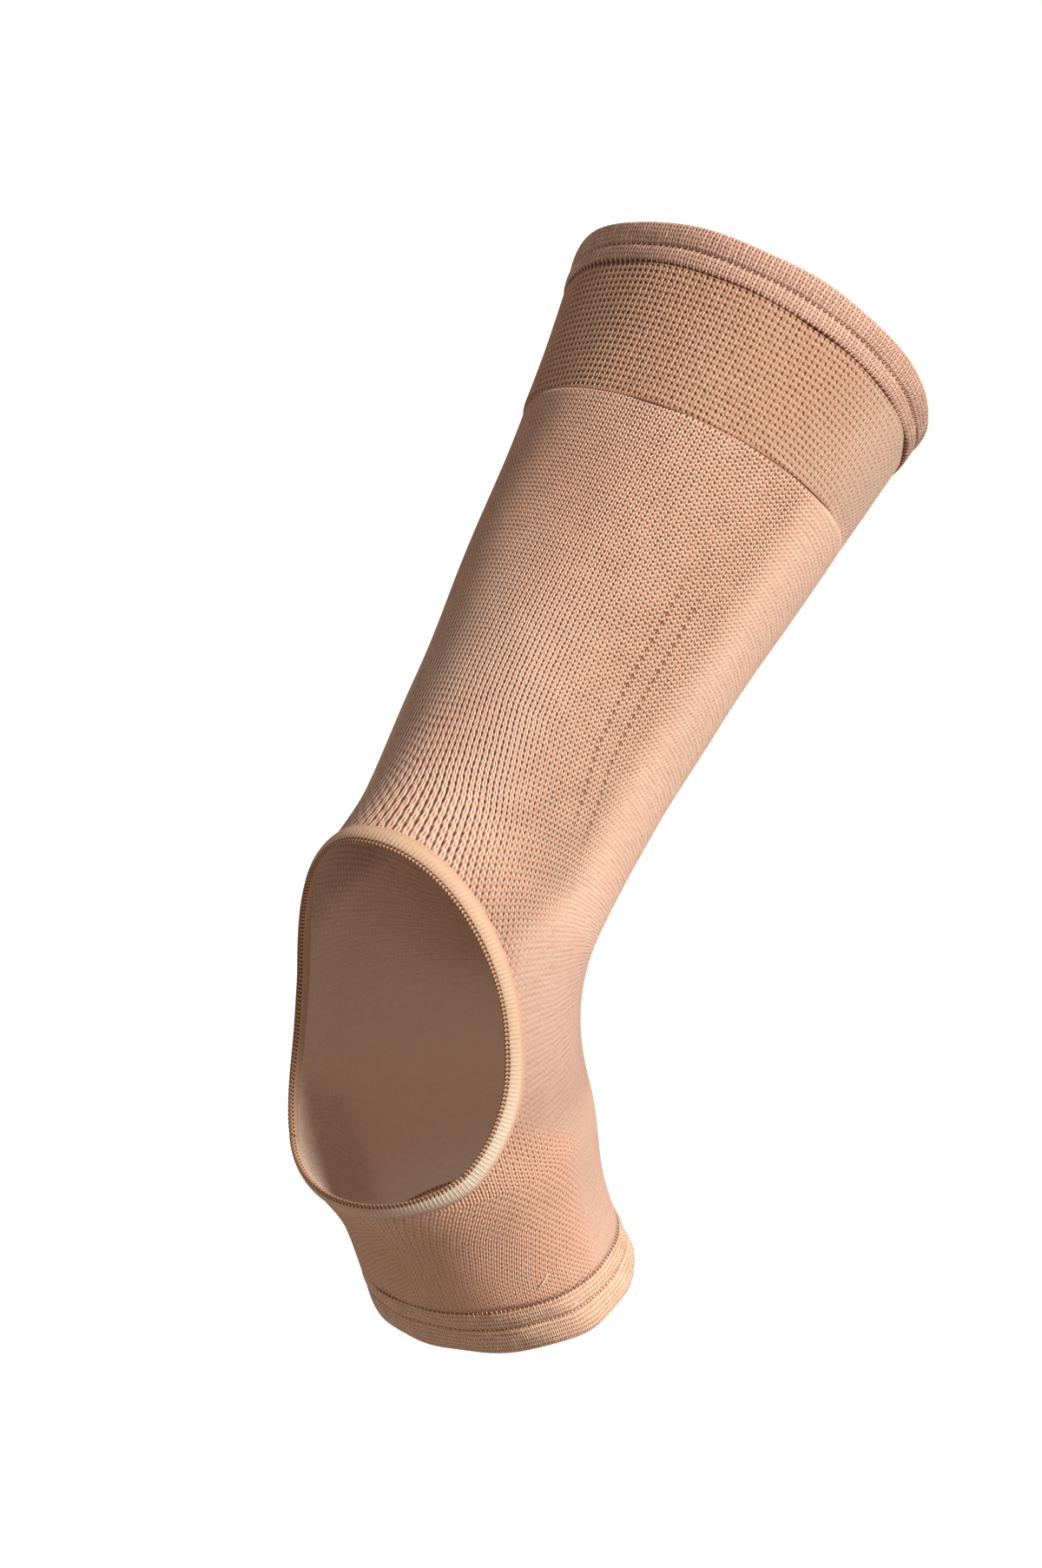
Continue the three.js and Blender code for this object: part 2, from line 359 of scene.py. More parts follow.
def ring_piece(name, s, inset, turns, maps, attributes, material, node):
    """A closed ring: rows go round its section and columns round the tube. The last column
    lies on the first one."""
    rows, width = s.shape
    corners = tube_points(s, turns, inset).reshape(-1, 3)
    vertex_of = np.arange(rows * width).reshape(rows, width)
    vertex_of[:, -1] = vertex_of[:, 0]
    quads = quad_grid(rows, width, close_rows=True)
    flat = {label: values.ravel() for label, values in attributes.items()}
    return make_piece(name, corners, maps.reshape(-1, 2), quads, vertex_of.ravel(), flat,
                      material, node)


# Hems

# Section of a folded hem from its joined edge: up is a share of its height and out is a share
# of its thickness. A stitched groove parts its two soft rolls.
HEM_GROOVE = 0.43
HEM_OUTLINE = (
    (0.0, 0.45), (0.05, 0.78), (0.2, 0.92), (0.36, 0.84), (HEM_GROOVE, 0.62), (0.5, 0.86),
    (0.7, 1.0), (0.88, 0.94), (0.97, 0.72), (1.0, 0.42), (0.97, 0.12), (0.88, 0.0), (0.0, 0.0),
)
HEM_OUTLINE_STEPS = 4
TOP_HEM_FULLNESS = 0.95
FOOT_HEM_FULLNESS = 0.78


def smooth_loop(points, steps):
    """A closed smooth curve through the points, with even steps between neighbours."""
    points = np.array(points)
    before = np.roll(points, 1, axis=0)
    after = np.roll(points, -1, axis=0)
    later = np.roll(points, -2, axis=0)
    t = (np.arange(steps) / steps)[None, :, None]
    p0, p1, p2, p3 = (p[:, None, :] for p in (before, points, after, later))
    curve = 0.5 * (2 * p1 + (p2 - p0) * t + (2 * p0 - 5 * p1 + 4 * p2 - p3) * t ** 2
                   + (3 * p1 - p0 - 3 * p2 + p3) * t ** 3)
    return curve.reshape(-1, 2)


def make_hem(name, upward, edge, height, fullness, material):
    """A folded hem. upward is 1 where its free edge is up the leg, and -1 at the foot, and
    fullness is how thick its soft rolls are, as a share of the hem's thickness."""
    columns = HEM_STEPS * WALES
    turns = np.linspace(-math.pi, math.pi, columns + 1)[None, :]
    section = smooth_loop(HEM_OUTLINE, HEM_OUTLINE_STEPS)
    if upward < 0:
        section = section[::-1]
    up = section[:, :1] + 0 * turns
    out = section[:, 1:] + 0 * turns
    wales = turns / TURN * WALES + 0 * up
    steps = np.hypot(np.diff(section[:, 0]) * height, np.diff(section[:, 1]) * HEM_THICKNESS)
    along = np.concatenate(([0.0], np.cumsum(steps)))[:, None] + 0 * up
    outside = smooth_step(out, 0.3, 0.8)
    rib = (HEM_FINE_RIB * np.cos(2 * TURN * wales) + HEM_RIB * np.cos(TURN * wales)) * outside
    soft = HEM_WAVE * (np.sin(7 * turns + 1.3) + np.sin(13 * turns + 4 * up)) * outside
    s = edge(turns) + upward * up * height + HEM_EDGE_WAVE * np.sin(9 * turns + 0.6) * up
    inset = KNIT_WALL - out * HEM_THICKNESS * (1 - (1 - fullness) * outside) - rib - soft
    maps = np.stack([wales, along / HEM_COURSE], axis=-1)
    return ring_piece(f"{name}_knit", s, inset, turns + 0 * s, maps, {"up": up},
                      material, name)


# Cuff band

def make_cuff_band(material):
    """The mesh band: an outer face with small holes pressed in, and a plain inner face."""
    turns = np.linspace(-math.pi, math.pi, BAND_STEPS * WALES + 1)[None, :]
    outer_up = np.linspace(0, 1, BAND_ROWS)
    inner_up = np.linspace(1, 0, BAND_INNER_ROWS)
    up = np.concatenate((outer_up, inner_up))[:, None] + 0 * turns
    outside = np.concatenate((np.ones(BAND_ROWS), np.zeros(BAND_INNER_ROWS)))[:, None]
    low = cuff_band_lower_edge(turns)
    s = low + up * (top_hem_lower_edge(turns) - low)
    wales = turns / TURN * WALES + 0 * s
    courses = s / BAND_COURSE
    lean = 0.1 * np.sin(TURN * courses)
    hole = np.sin(math.pi * (wales + lean)) ** 2 * np.sin(math.pi * courses) ** 2
    calm = calm_amount(s, turns, BAND_CALM_ROUND)
    # The relief is lower where the band is stretched smooth, and none along its two edges
    between_edges = smooth_step(up, 0, 0.02) * smooth_step(1 - up, 0, 0.02)
    relief = BAND_RELIEF * (1 - 0.7 * calm) * (0.4 - hole) * between_edges
    soft = BAND_WAVE * (np.sin(5 * turns + 0.4) + np.sin(11 * turns + 60 * s))
    inset = np.where(outside > 0, -relief - soft, KNIT_WALL)
    maps = np.stack([wales, courses], axis=-1)
    attributes = {"up": up, "inside": 1 - outside + 0 * s, "calm": calm}
    return ring_piece("cuff_band_knit", s, inset, turns + 0 * s, maps, attributes,
                      material, "cuff_band")


# Main knit

# How far the columns of loops are drawn round the heel, at places along the tube in millimetres.
# The lean moves that pull from the shin toward the back.
HEEL_PULL = (
    (-85, 0.0), (-75, 0.03), (-60, 0.15), (-44, 0.33), (-9, 0.38), (15, 0.4), (30, 0.3),
    (45, 0.19), (68, 0.075), (97, 0.03), (125, 0.0),
)
PULL_LEAN = 0.3

# How far the rows of loops drop for each degree toward the back, at the ankle and the foot, and
# the millimetres up the leg over which that fades
COURSE_TILT = 0.24 * MM
TILT_FADE = (10, 75)

# Zones of the main knit. Each pair is a soft edge: degrees round from the shin where the name
# says ROUND, and else millimetres along the tube. They count toward the toes for the sole, the
# foot and the knit below the heel, and up the leg for the others.
TENDON_LOW = (10, 24)
TENDON_HIGH = (60, 135)
TENDON_ROUND = (118, 150)
SOLE_NEAR = (34, 44)
SOLE_FAR = (60, 78)
SOLE_ROUND = (112, 130)
FOOT_FADE = (-10, 45)
ANKLE_LOW = (-42, -25)
ANKLE_HIGH = (8, 40)
CALM_ROUND = (80, 99)
BAND_CALM_ROUND = (56, 116)
RELIEF_ABOVE_HEEL = (26, 32)
RELIEF_BELOW_HEEL = (44, 50)

# Degrees that the smooth part reaches farther back beside the heel opening, and the farthest
# distance from the opening's rim that a point keeps, in millimetres
ANKLE_CALM_SHIFT = 18
RIM_REACH = 20

# Rounds that find an angle from its column of loops, and that settle the sleeve's grid
NEWTON_ROUNDS = 12
GRID_ROUNDS = 4


def fade(s, span):
    """From 0 to 1 over a span along the tube, given in millimetres."""
    return smooth_step(s, span[0] * MM, span[1] * MM)


def heel_pull(s):
    places, pulls = np.array(HEEL_PULL).T
    return np.interp(s / MM, places, pulls)


def wale_angle(s, angle):
    """The angle that a point had before the heel drew the columns of loops aside."""
    return angle + heel_pull(s) * (np.sin(angle) - PULL_LEAN * np.sin(2 * angle))


def angle_of_wale(s, wale):
    """The inverse of wale_angle, found by Newton's steps."""
    pull = heel_pull(s)
    angle = wale.copy()
    for _ in range(NEWTON_ROUNDS):
        miss = wale_angle(s, angle) - wale
        slope = 1 + pull * (np.cos(angle) - 2 * PULL_LEAN * np.cos(2 * angle))
        angle = angle - miss / slope
    return angle


def course_number(s, angle):
    """Rows of loops counted up the leg. They drop toward the back at the ankle and foot."""
    tilt = COURSE_TILT * (1 - fade(s, TILT_FADE))
    return (s + tilt * (np.degrees(np.abs(angle)) - 90)) / SLEEVE_COURSE


def sleeve_rows():
    """Rows from the foot hem up: s as a function of the angle, how far the row reaches round,
    and whether it ends at the heel opening."""
    rows = []
    opening_low = float(heel_outline(math.pi)[0])
    opening_high = float(heel_outline(0.0)[0])

    def foot_row(share):
        return lambda a: foot_hem_upper_edge(a) * (1 - share) + opening_low * share

    def heel_row(front_s, rim_s, reach):
        return lambda a: front_s + (rim_s - front_s) * (a / reach) ** 2

    def leg_row(share):
        return lambda a: opening_high * (1 - share) + cuff_band_lower_edge(a) * share

    for row in range(FOOT_ROWS):
        rows.append((foot_row(row / FOOT_ROWS), math.pi, False))
    for row in range(HEEL_ROWS + 1):
        share = row / HEEL_ROWS
        rim_s, rim_angle = (float(v) for v in heel_outline(math.pi * (1 - share)))
        reach = rim_angle if 0 < row < HEEL_ROWS else math.pi
        front_s = opening_low * (1 - share) + opening_high * share
        rows.append((heel_row(front_s, rim_s, reach), reach, True))
    for row in range(1, LEG_ROWS + 1):
        rows.append((leg_row(row / LEG_ROWS), math.pi, False))
    return rows


def rib_amount(s, angle):
    """Where the knit gathers into ribs: over the tendon above the heel."""
    round_back = np.degrees(np.abs(angle))
    along = fade(s, TENDON_LOW) * (1 - fade(s, TENDON_HIGH))
    return along * smooth_step(round_back, *TENDON_ROUND)


def sole_amount(s, angle):
    """Where single columns of loops stand out: under the heel."""
    round_back = np.degrees(np.abs(angle))
    along = fade(-s, SOLE_NEAR) * (1 - fade(-s, SOLE_FAR))
    return along * smooth_step(round_back, *SOLE_ROUND)


def foot_amount(s):
    """How far toward the foot, where the stitches are finer and flatter."""
    return fade(-s, FOOT_FADE)


def ankle_amount(s):
    """Where the knit runs beside the heel opening."""
    return fade(s, ANKLE_LOW) * (1 - fade(s, ANKLE_HIGH))


def calm_amount(s, angle, ends=CALM_ROUND):
    """Where the knit is stretched smooth: the shin and the instep, and farther back beside the
    heel opening. ends are the degrees from the shin where it is full and where it is gone."""
    round_back = np.degrees(np.abs(angle))
    return 1 - smooth_step(round_back - ANKLE_CALM_SHIFT * ankle_amount(s), *ends)


def rim_distance(points):
    """Distance from the heel opening's rim, found for the points near it and large elsewhere."""
    searched = 110 * MM
    samples = 721
    block_size = 4000
    rim = tube_points(*heel_outline(np.linspace(0, TURN, samples)))
    best = np.full(len(points), 1.0)
    near = np.flatnonzero(np.linalg.norm(points - rim.mean(axis=0), axis=1) < searched)
    for start in range(0, len(near), block_size):
        block = near[start:start + block_size]
        gaps = np.linalg.norm(points[block, None, :] - rim[None, :, :], axis=2)
        best[block] = gaps.min(axis=1)
    return best


def make_knit_sleeve(material):
    """The main knit. Its columns of faces follow the columns of loops round the heel opening."""
    width = SLEEVE_STEPS * WALES + 1
    rows = sleeve_rows()
    shares = np.linspace(-1, 1, width)
    reach = np.array([row[1] for row in rows])[:, None]
    beside = np.array([row[2] for row in rows])
    angle = reach * shares
    for _ in range(GRID_ROUNDS):
        s = np.stack([row[0](angle[index]) for index, row in enumerate(rows)])
        rim_wale = wale_angle(s[:, -1:], reach)
        angle = np.clip(angle_of_wale(s, rim_wale * shares), -reach, reach)
        angle[:, 0] = -reach[:, 0]
        angle[:, -1] = reach[:, 0]
    s = np.stack([row[0](angle[index]) for index, row in enumerate(rows)])
    beyond_heel = np.clip(fade(s, RELIEF_ABOVE_HEEL) + fade(-s, RELIEF_BELOW_HEEL), 0, 1)
    whole = (reach == math.pi) * beyond_heel
    parity = np.where(np.arange(width) % 2 == 0, 1.0, -1.0)[None, :]
    rib = rib_amount(s, angle)
    relief = -parity * whole * (SLEEVE_RELIEF + TENDON_RELIEF * rib)
    soft = SLEEVE_WAVE * (np.sin(6 * angle + 40 * s) + np.sin(3 * angle - 90 * s + 1.0))
    outer = tube_points(s, angle, -relief - soft).reshape(-1, 3)

    # The inner face keeps every row beside the heel opening and few elsewhere
    keep = beside.copy()
    keep[::INNER_ROW_STEP] = True
    keep[-1] = True
    kept = np.flatnonzero(keep)
    inner = tube_points(s[kept], angle[kept], KNIT_WALL).reshape(-1, 3)
    count = len(rows)
    corners = np.concatenate((outer, inner))
    vertex_of = np.arange(len(corners)).reshape(-1, width)
    closed = np.concatenate((reach[:, 0], reach[kept, 0])) == math.pi
    vertex_of[closed, -1] = vertex_of[closed, 0]
    first_inner = count * width
    quads = [quad_grid(count, width), quad_grid(len(kept), width, first_inner, flip=True)]

    def strip(row_a, row_b):
        """Quads between two rows of corners, given as arrays of corner indices."""
        return np.stack([row_a[:-1], row_b[:-1], row_b[1:], row_a[1:]], axis=-1)

    outer_ids = np.arange(first_inner).reshape(count, width)
    inner_ids = first_inner + np.arange(len(kept) * width).reshape(-1, width)
    quads.append(strip(outer_ids[0], inner_ids[0]))
    quads.append(strip(inner_ids[-1], outer_ids[-1]))
    heel = np.flatnonzero(beside)
    heel_inner = np.searchsorted(kept, heel)
    quads.append(strip(inner_ids[heel_inner, 0], outer_ids[heel, 0]))
    quads.append(strip(outer_ids[heel, -1], inner_ids[heel_inner, -1]))
    all_s = np.concatenate((s, s[kept])).ravel()
    all_angle = np.concatenate((angle, angle[kept])).ravel()
    attributes = {
        "rib": rib_amount(all_s, all_angle),
        "sole": sole_amount(all_s, all_angle),
        "calm": calm_amount(all_s, all_angle),
        "foot": foot_amount(all_s),
        "ankle": ankle_amount(all_s),
        "rim": np.clip(rim_distance(corners) / MM, 0, RIM_REACH),
        "inside": np.concatenate((np.zeros(len(outer)), np.ones(len(inner)))),
    }
    wales = wale_angle(all_s, all_angle) / TURN * WALES
    maps = np.stack([wales, course_number(all_s, all_angle)], axis=-1)
    return make_piece("sleeve_knit", corners, maps, np.concatenate(quads), vertex_of.ravel(),
                      attributes, material, "knit_sleeve")


# Heel binding

# Section of the tape: distance into the opening and height over the middle of the wall, in
# millimetres. Its outer edge meets the knit, and a groove holds the edge cord.
TAPE_OUTLINE = (
    (0.1, -0.5), (0.06, 0.66), (-1.3, 0.78), (-0.8, 1.02), (0.4, 1.3), (1.6, 1.42), (2.8, 1.3),
    (3.8, 0.86), (4.2, 0.2), (4.0, -0.4), (3.2, -0.8), (1.6, -0.95), (0.6, -0.85),
)
TAPE_OUTLINE_STEPS = 3

# The edge cord's distance into the opening, its height over the middle of the wall, its radius
# and how much its beads swell
CORD_PLACE = 4.5 * MM
CORD_RISE = 0.25 * MM
CORD_RADIUS = 0.45 * MM
CORD_SIDES = 10
CORD_BEAD = 0.15


def heel_rim(t):
    """Along the opening's rim: points half way through the wall, the way into the opening and
    the way out of the tube."""
    step = 0.001

    def rim_point(turn):
        return tube_points(*heel_outline(turn), KNIT_WALL / 2)

    def unit(v):
        return v / np.linalg.norm(v, axis=-1, keepdims=True)

    along = rim_point(t + step) - rim_point(t - step)
    s, angle = heel_outline(t)
    small = step * MM
    up = tube_points(s + small, angle) - tube_points(s - small, angle)
    turn = tube_points(s, angle + step) - tube_points(s, angle - step)
    out = unit(np.cross(up, turn))
    return rim_point(t), unit(np.cross(unit(along), out)), out


def even_turns(count):
    """Turns round the rim that lie evenly along its length."""
    samples = 4001
    fine = np.linspace(0, TURN, samples)
    rim = tube_points(*heel_outline(fine), KNIT_WALL / 2)
    length = np.concatenate(([0.0], np.cumsum(np.linalg.norm(np.diff(rim, axis=0), axis=1))))
    return np.interp(np.linspace(0, length[-1], count + 1), length, fine)


def rim_ring(name, across, rise, maps, material, flip):
    """A closed ring round the heel opening, from its section at each step round the rim."""
    rows, width = across.shape
    point, inward, out = heel_rim(even_turns(width - 1))
    corners = point[None] + inward[None] * across[..., None] + out[None] * rise[..., None]
    vertex_of = np.arange(rows * width).reshape(rows, width)
    vertex_of[:, -1] = vertex_of[:, 0]
    quads = quad_grid(rows, width, close_rows=True, flip=flip)
    return make_piece(name, corners.reshape(-1, 3), maps.reshape(-1, 2), quads, vertex_of.ravel(),
                      {}, material, "heel_binding")


def make_binding_tape(material):
    steps = BINDING_STEPS * BINDING_STITCHES
    section = smooth_loop(TAPE_OUTLINE, TAPE_OUTLINE_STEPS) * MM
    stitch = np.linspace(0, BINDING_STITCHES, steps + 1)[None, :]
    across = section[:, :1] + 0 * stitch
    rise = section[:, 1:] + 0 * stitch
    shown = smooth_step(rise, 0.3 * MM, 0.9 * MM)
    cross_rib = TAPE_RIB * np.cos(TURN * stitch) * shown
    soft = TAPE_WAVE * np.sin(TURN * stitch / 31 + 0.8) * shown
    maps = np.stack([stitch + 0 * across, across / MM], axis=-1)
    return rim_ring("heel_tape", across, rise + cross_rib + soft, maps, material, False)


def make_edge_cord(material):
    steps = BINDING_STEPS * BINDING_STITCHES
    stitch = np.linspace(0, BINDING_STITCHES, steps + 1)[None, :]
    turn = (TURN * np.arange(CORD_SIDES) / CORD_SIDES)[:, None]
    bead = 1 + CORD_BEAD * np.cos(TURN * stitch + turn)
    across = CORD_PLACE + CORD_RADIUS * bead * np.cos(turn)
    rise = CORD_RISE + CORD_RADIUS * bead * np.sin(turn)
    maps = np.stack([stitch + 0 * turn, turn / TURN + 0 * stitch], axis=-1)
    return rim_ring("edge_cord", across, rise, maps, material, True)


# Snagged threads: where each one starts and ends, as s along the tube and the angle in degrees
SNAGS = (((-80.0, 123), (-76.0, 115)), ((-89.8, 112), (-88, 105.5)))
THREAD_RADIUS = 0.28 * MM
THREAD_CLEARANCE = 0.25 * MM
THREAD_ARCH = 0.35 * MM
THREAD_STEPS = 16
THREAD_SIDES = 6


def make_snag(name, ends, material):
    """A loose loop of thread that stands a little off the knit between its two ends."""
    share = np.linspace(0, 1, THREAD_STEPS)
    (s_from, angle_from), (s_to, angle_to) = ends
    s = (s_from + (s_to - s_from) * share) * MM
    angle = np.radians(angle_from + (angle_to - angle_from) * share)
    path = tube_points(s, angle, -THREAD_ARCH * np.sin(math.pi * share) - THREAD_CLEARANCE)
    along = np.gradient(path, axis=0)
    along = along / np.linalg.norm(along, axis=1, keepdims=True)
    side = np.cross(along, (0, 0, 1))
    side = side / np.linalg.norm(side, axis=1, keepdims=True)
    up = np.cross(side, along)
    turn = (TURN * np.arange(THREAD_SIDES + 1) / THREAD_SIDES)[None, :, None]
    ring = side[:, None] * np.cos(turn) + up[:, None] * np.sin(turn)
    # The thread thins toward both ends
    width = THREAD_RADIUS * np.sqrt(np.sin(math.pi * (0.04 + 0.92 * share)))
    corners = (path[:, None] + ring * width[:, None, None]).reshape(-1, 3)
    vertex_of = np.arange(len(corners)).reshape(THREAD_STEPS, THREAD_SIDES + 1)
    vertex_of[:, -1] = vertex_of[:, 0]
    maps = np.zeros((len(corners), 2))
    quads = quad_grid(THREAD_STEPS, THREAD_SIDES + 1, flip=True)
    return make_piece(name, corners, maps, quads, vertex_of.ravel(), {},
                      material, "knit_sleeve")


# Materials

# Layers of noise, one for each use in a material
HEM_STREAKS = 0.0
WIDE_U = 1.0
WIDE_V = 2.0
FIBRES = 3.0
WARMTH = 4.0
FINE_U = 5.0
FINE_V = 6.0
LOOP_STREAKS = 7.0
UNEVENNESS = 8.0

# Colours at heights of the stitches, from the gaps between them up to their tops. The dark low
# stops are partly the yarn's own colour and partly painted shade in the gaps
SLEEVE_COLOURS = ((0.0, "8d5036"), (0.3, "ce8f71"), (0.6, "eab395"), (0.95, "f7d6bf"))
BAND_COLOURS = ((0.0, "6f412b"), (0.3, "a97356"), (0.6, "cc9a7e"), (0.95, "e8c2a5"))
TOP_HEM_COLOURS = ((0.0, "6b3a27"), (0.25, "b07a62"), (0.55, "dcaa91"), (0.95, "f6cfb9"))
FOOT_HEM_COLOURS = ((0.0, "9c5432"), (0.25, "e89d78"), (0.55, "ffc8a5"), (0.95, "ffe3ca"))
TAPE_COLOURS = ((0.0, "b38868"), (0.4, "d6af8f"), (0.9, "e6c3a6"))
CORD_COLOURS = ((0.05, "70402a"), (0.4, "a8775a"), (0.9, "dab08d"))
THREAD_COLOURS = ((0.0, "f0cdb5"), (1.0, "fff0e2"))

# Columns of loops, counted from the shin to either side, that are opened by rows of eyelets
EYELET_WALES = (50.5, 54.5)


class Signal:
    """A number that varies over a surface, as one output in a material's node tree."""

    def __init__(self, tree, output):
        self.tree = tree
        self.output = output

    def apply(self, operation, *others):
        node = self.tree.nodes.new("ShaderNodeMath")
        node.operation = operation
        for socket, value in zip(node.inputs, (self, *others)):
            connect(self.tree, value, socket)
        return Signal(self.tree, node.outputs[0])

    def __add__(self, other):
        return self.apply("ADD", other)

    def __sub__(self, other):
        return self.apply("SUBTRACT", other)

    def __mul__(self, other):
        return self.apply("MULTIPLY", other)

    def __pow__(self, other):
        return self.apply("POWER", other)

    def wave(self):
        """A cosine with one period for each whole number."""
        return (self * TURN).apply("COSINE")

    def hump(self):
        """The same wave from 0 to 1, with its tops at the whole numbers."""
        return self.wave() * 0.5 + 0.5

    def rest(self, share=1):
        """What is left of one when a share of this signal is taken away."""
        return self * -share + 1

    def size(self):
        return self.apply("ABSOLUTE")

    def step(self, low, high):
        """A smooth step from 0 at low to 1 at high, or down again where low is the higher one."""
        node = self.tree.nodes.new("ShaderNodeMapRange")
        node.interpolation_type = "SMOOTHSTEP"
        self.tree.links.new(self.output, node.inputs["Value"])
        node.inputs["From Min"].default_value = low
        node.inputs["From Max"].default_value = high
        return Signal(self.tree, node.outputs["Result"])

    def toward(self, other, share):
        """This signal where share is 0 and the other one where it is 1."""
        return self + (other - self) * share


def connect(tree, value, socket):
    if isinstance(value, Signal):
        tree.links.new(value.output, socket)
    else:
        socket.default_value = value


def linear(hexadecimal):
    """Shader colour of a screen colour such as 'e6b496'."""
    parts = [int(hexadecimal[i:i + 2], 16) / 255 for i in (0, 2, 4)]
    return (*(p / 12.92 if p <= 0.04045 else ((p + 0.055) / 1.055) ** 2.4 for p in parts), 1.0)


class Cloth:
    """A knitted cloth's material, in which the height of the stitches drives colour and relief."""

    def __init__(self, name):
        self.material = bpy.data.materials.new(name)
        self.material.use_nodes = True
        self.tree = self.material.node_tree
        self.shader = self.tree.nodes["Principled BSDF"]
        self.places = self.tree.nodes.new("ShaderNodeTexCoord").outputs["Object"]

    def attribute(self, name):
        node = self.tree.nodes.new("ShaderNodeAttribute")
        node.attribute_name = name
        return Signal(self.tree, node.outputs["Fac"])

    def knit_map(self):
        node = self.tree.nodes.new("ShaderNodeUVMap")
        node.uv_map = "knit_map"
        split = self.tree.nodes.new("ShaderNodeSeparateXYZ")
        self.tree.links.new(node.outputs["UV"], split.inputs[0])
        return Signal(self.tree, split.outputs["X"]), Signal(self.tree, split.outputs["Y"])

    def noise_from(self, places, scale, detail, layer):
        """Noise about zero, from -0.5 to 0.5. Each layer is another pattern."""
        node = self.tree.nodes.new("ShaderNodeTexNoise")
        node.noise_dimensions = "4D"
        node.inputs["W"].default_value = layer
        node.inputs["Scale"].default_value = scale
        node.inputs["Detail"].default_value = detail
        self.tree.links.new(places, node.inputs["Vector"])
        return Signal(self.tree, node.outputs["Fac"]) - 0.5

    def noise(self, size, layer):
        """Noise with spots of the given size in metres."""
        return self.noise_from(self.places, 1 / size, 2.0, layer)

    def streaks(self, u, v, layer):
        """Noise in the knit's own pattern, with spots one unit of u and v wide."""
        places = self.tree.nodes.new("ShaderNodeCombineXYZ")
        connect(self.tree, u, places.inputs["X"])
        connect(self.tree, v, places.inputs["Y"])
        return self.noise_from(places.outputs[0], 1.0, 1.0, layer)

    def ramp(self, height, stops):
        node = self.tree.nodes.new("ShaderNodeValToRGB")
        elements = node.color_ramp.elements
        while len(elements) < len(stops):
            elements.new(0.5)
        for element, (place, colour) in zip(elements, stops):
            element.position = place
            element.color = linear(colour)
        self.tree.links.new(height.output, node.inputs["Fac"])
        return node.outputs["Color"]

    def mix(self, share, first, second, blend="MIX"):
        node = self.tree.nodes.new("ShaderNodeMix")
        node.data_type = "RGBA"
        node.blend_type = blend
        connect(self.tree, share, node.inputs["Factor"])
        for value, label in ((first, "A"), (second, "B")):
            socket = next(i for i in node.inputs if i.name == label and i.type == "RGBA")
            if isinstance(value, str):
                socket.default_value = linear(value)
            else:
                self.tree.links.new(value, socket)
        return next(o for o in node.outputs if o.type == "RGBA")

    def finish(self, colour, height, depth, roughness=0.86, sheen=0.12):
        bump = self.tree.nodes.new("ShaderNodeBump")
        bump.inputs["Strength"].default_value = 1.0
        bump.inputs["Distance"].default_value = depth
        self.tree.links.new(height.output, bump.inputs["Height"])
        self.tree.links.new(bump.outputs["Normal"], self.shader.inputs["Normal"])
        self.tree.links.new(colour, self.shader.inputs["Base Color"])
        self.shader.inputs["Roughness"].default_value = roughness
        self.shader.inputs["Specular IOR Level"].default_value = 0.25
        self.shader.inputs["Sheen Weight"].default_value = sheen
        self.shader.inputs["Sheen Roughness"].default_value = 0.5
        self.shader.inputs["Sheen Tint"].default_value = linear("ffe9d8")
        return self.material


def loops(u, v, row_height):
    """Height of plain knit: in each column of loops two legs lean together like a V."""
    off_middle = (u.apply("FRACT") - 0.5).size() * 2
    legs = (u * 2 + 0.5).wave() * 0.17 + (u + 0.5).wave() * 0.1
    rows = (v + off_middle * 0.5).wave() * row_height
    return legs + rows + 0.55


